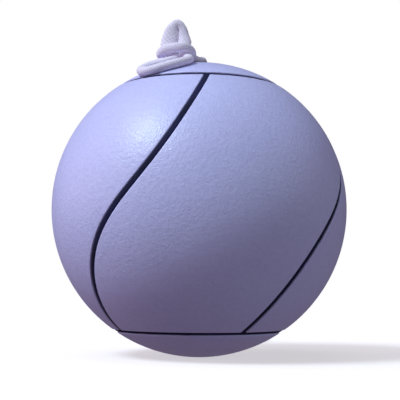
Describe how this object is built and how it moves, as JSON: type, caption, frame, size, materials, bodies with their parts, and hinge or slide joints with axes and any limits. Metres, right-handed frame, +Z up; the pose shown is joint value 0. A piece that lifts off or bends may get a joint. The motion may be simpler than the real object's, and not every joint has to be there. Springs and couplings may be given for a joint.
{
  "type": "tetherball",
  "caption": "Recessed-cup play ball of pale panels over a black carcass, with its white braided tether cord bundled on top, a stored coil and a swivel bolt snap.",
  "frame": {"origin": "centre of the flat patch that the ball rests on", "axes": "+Z up through the tether cup, -Y towards the side seen with the bundled cord in front, cord laid out towards +Y"},
  "size_m": [0.2158, 0.4007, 0.245],
  "materials": {
    "panel": "satin, fine pebble",
    "carcass_rubber": "matte",
    "cup_rubber": "satin",
    "inner_rubber": "matte",
    "winding": "wound thread",
    "cord": "braided",
    "tie": "woven",
    "steel": "polished"
  },
  "bodies": {
    "ball": {"bladder": "inner_rubber", "winding_layer": "winding", "carcass": "carcass_rubber", "cap_panel_top": "panel", "cap_panel_bottom": "panel", "side_panel_1": "panel", "side_panel_2": "panel", "side_panel_3": "panel", "side_panel_4": "panel", "tether_cup": "cup_rubber", "tether_bar": "steel", "valve_boot": "inner_rubber", "valve_plug": "carcass_rubber", "cord_bundle": "cord", "cord_run": "cord", "cord_coil": "cord", "coil_tie_1": "tie", "coil_tie_2": "tie", "cord_tail": "cord", "end_loop": "cord", "end_ferrule": "steel", "snap_swivel": "steel"},
    "tether_eye": {"tether_eye": "cord"},
    "snap": {"snap_body": "steel", "snap_spring": "steel"},
    "snap_bolt": {"snap_bolt": "steel"}
  },
  "joints": [
    {"name": "eye_turn", "type": "hinge", "parent": "ball", "child": "tether_eye", "pos_m": [0, 0, 0.20318], "axis": [1, 0, 0], "range_deg": [-60, 60]},
    {"name": "snap_turn", "type": "hinge", "parent": "ball", "child": "snap", "pos_m": [-0.0015, 0.278, 0.0111], "axis": [-0.9923, 0, -0.124], "continuous": true},
    {"name": "bolt_slide", "type": "slide", "parent": "snap", "child": "snap_bolt", "axis": [0.9923, 0, 0.124], "range_m": [0, 0.008], "stiffness_N_per_m": 250, "springref_m": -0.004, "deforming": ["snap_spring"]}
  ]
}
